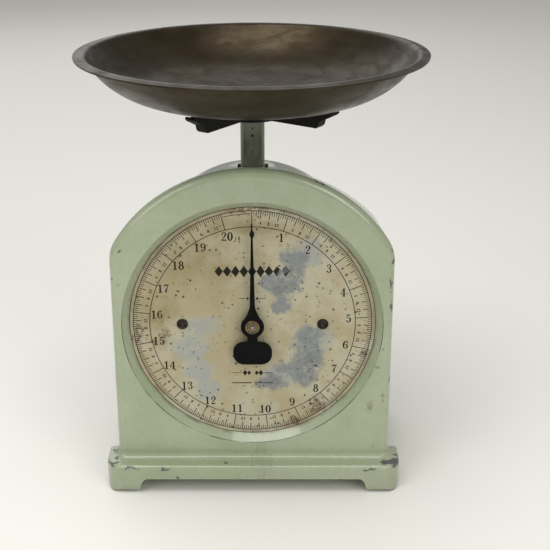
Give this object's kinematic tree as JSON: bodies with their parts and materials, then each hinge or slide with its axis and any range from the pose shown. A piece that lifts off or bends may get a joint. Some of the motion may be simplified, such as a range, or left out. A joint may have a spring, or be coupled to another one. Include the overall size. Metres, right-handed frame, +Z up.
{
  "type": "dial kitchen scale",
  "caption": "Domestic spring scale: arched cast casing with a round dial and pointer, a stem through its top, and a weighing bowl on a cross-shaped carrier.",
  "frame": {"origin": "on the table, under the axis of the stem and the bowl", "axes": "+X to the reader's right, +Y to the back, +Z up along the stem"},
  "size_m": [0.2318, 0.2318, 0.2942],
  "materials": {
    "green_enamel": "worn gloss paint over iron",
    "cast_iron": "black stove paint",
    "pan_steel": "browned and polished by use",
    "dial_print": "aged cream print",
    "black_paint": "satin black",
    "steel": "dull",
    "spring_steel": "oiled",
    "brass": "tarnished",
    "cover_paint": "worn gloss paint over sheet steel"
  },
  "bodies": {
    "housing": {"casing": "green_enamel", "back_cover": "cover_paint", "back_cover_screws": "steel", "dial_plate": "dial_print", "dial_screws": "steel", "dial_posts": "brass", "mechanism_frame": "steel", "frame_screws": "steel", "front_bearing": "brass", "rear_bearing": "brass", "bearing_bridge": "steel", "bridge_screws": "steel", "rack_guide": "brass", "stay_pivots": "steel"},
    "stem": {"stem": "green_enamel", "crosshead": "cast_iron", "crosshead_screws": "steel", "rack": "brass", "rack_bracket": "steel", "rack_bracket_screws": "steel", "lower_spring_plugs": "steel", "stay_pins": "steel", "carrier": "cast_iron", "carrier_screw": "steel"},
    "pointer": {"pinion": "brass", "pinion_spindle": "steel", "pointer": "black_paint", "pointer_bush": "brass"},
    "anchor": {"spring_anchor": "steel", "zero_screw": "steel", "upper_spring_plugs": "steel", "spring_left": "spring_steel", "spring_right": "spring_steel"},
    "zero_wheel": {"zero_wheel": "brass"},
    "upper_stay": {"upper_stay": "steel"},
    "lower_stay": {"lower_stay": "steel"},
    "pan": {"pan": "pan_steel"}
  },
  "joints": [
    {"name": "stem_slide", "type": "slide", "parent": "housing", "child": "stem", "axis": [0, 0, -1], "range_m": [0, 0.02411], "stiffness_N_per_m": 3720, "springref_m": -0.0055, "deforming": ["spring_left", "spring_right"]},
    {"name": "pointer_spin", "type": "hinge", "parent": "housing", "child": "pointer", "pos_m": [0, -0.0512, 0.1197], "axis": [0, 1, 0], "range_deg": [0, 346]},
    {"name": "upper_stay_swing", "type": "hinge", "parent": "housing", "child": "upper_stay", "pos_m": [0, 0.038, 0.13795], "axis": [1, 0, 0], "range_deg": [0, 35.2]},
    {"name": "lower_stay_swing", "type": "hinge", "parent": "housing", "child": "lower_stay", "pos_m": [0, 0.038, 0.07995], "axis": [1, 0, 0], "range_deg": [0, 35.2]},
    {"name": "zero_wheel_turn", "type": "hinge", "parent": "housing", "child": "zero_wheel", "pos_m": [0, 0.041, 0.1868], "axis": [0, 0, 1], "range_deg": [-720, 720]},
    {"name": "anchor_slide", "type": "slide", "parent": "housing", "child": "anchor", "axis": [0, 0, 1], "range_m": [-0.0016, 0.0016]},
    {"name": "pan_lift", "type": "slide", "parent": "stem", "child": "pan", "axis": [0, 0, 1], "range_m": [0, 0.06]}
  ],
  "couplings": [
    {"joint": "pointer_spin", "follows": "stem_slide", "rad_per_m": 250},
    {"joint": "upper_stay_swing", "follows": "stem_slide", "rad_per_m": 25.483},
    {"joint": "lower_stay_swing", "follows": "stem_slide", "rad_per_m": 25.483},
    {"joint": "zero_wheel_turn", "follows": "anchor_slide", "rad_per_m": 7854}
  ]
}
